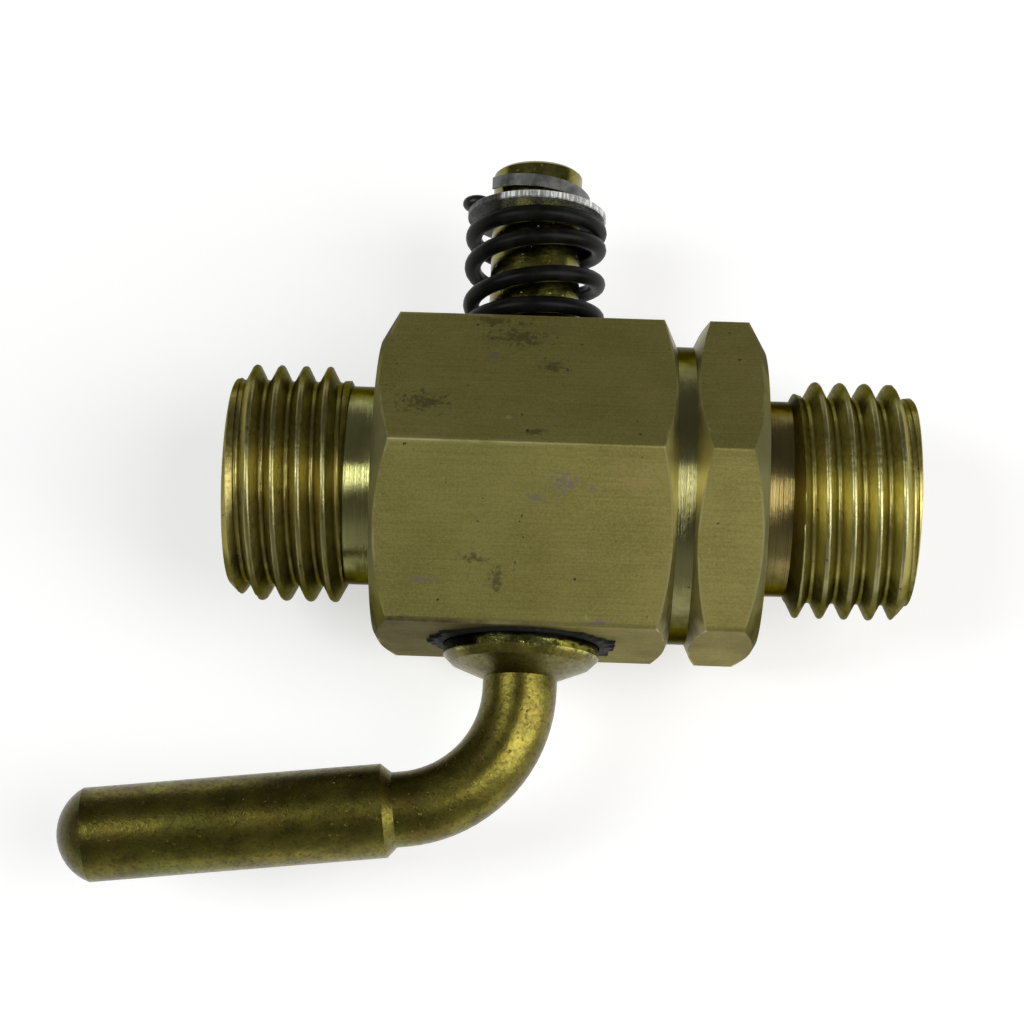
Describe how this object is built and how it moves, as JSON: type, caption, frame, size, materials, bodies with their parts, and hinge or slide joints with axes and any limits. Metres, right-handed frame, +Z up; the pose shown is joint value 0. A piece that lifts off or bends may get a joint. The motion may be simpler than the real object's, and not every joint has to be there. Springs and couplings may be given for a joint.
{
  "type": "petcock",
  "caption": "Brass ground-key petcock: hexagon body with male pipe threads at its ends, spring-held taper plug turned by a bent lever.",
  "frame": {"origin": "on the bore axis, where the inlet thread reaches full diameter beside its relief neck", "axes": "+X along the bore, out of the inlet thread; +Y along the plug, towards its spring; +Z up, with the lever lying along -X"},
  "size_m": [0.0451, 0.0406, 0.0196],
  "materials": {
    "body_brass": "drawn hexagon bar with turned ends, dull and slightly pitted",
    "plug_brass": "turned brass, worn smooth, mottled",
    "spring_steel": "black oiled spring wire",
    "plated_steel": "bright zinc plating",
    "pin_steel": "dull grey zinc plating"
  },
  "bodies": {
    "valve_body": {"valve_body": "body_brass", "spring": "spring_steel"},
    "washer": {"washer": "plated_steel"},
    "plug": {"plug_lever": "plug_brass", "split_pin": "pin_steel"}
  },
  "joints": [
    {"name": "plug_lift", "type": "slide", "parent": "valve_body", "child": "washer", "axis": [0, -1, 0], "range_m": [0, 0.0015], "stiffness_N_per_m": 6000, "springref_m": -0.002, "deforming": ["spring"]},
    {"name": "plug_turn", "type": "hinge", "parent": "washer", "child": "plug", "pos_m": [-0.0147, 0, 0], "axis": [0, 1, 0], "continuous": true}
  ]
}
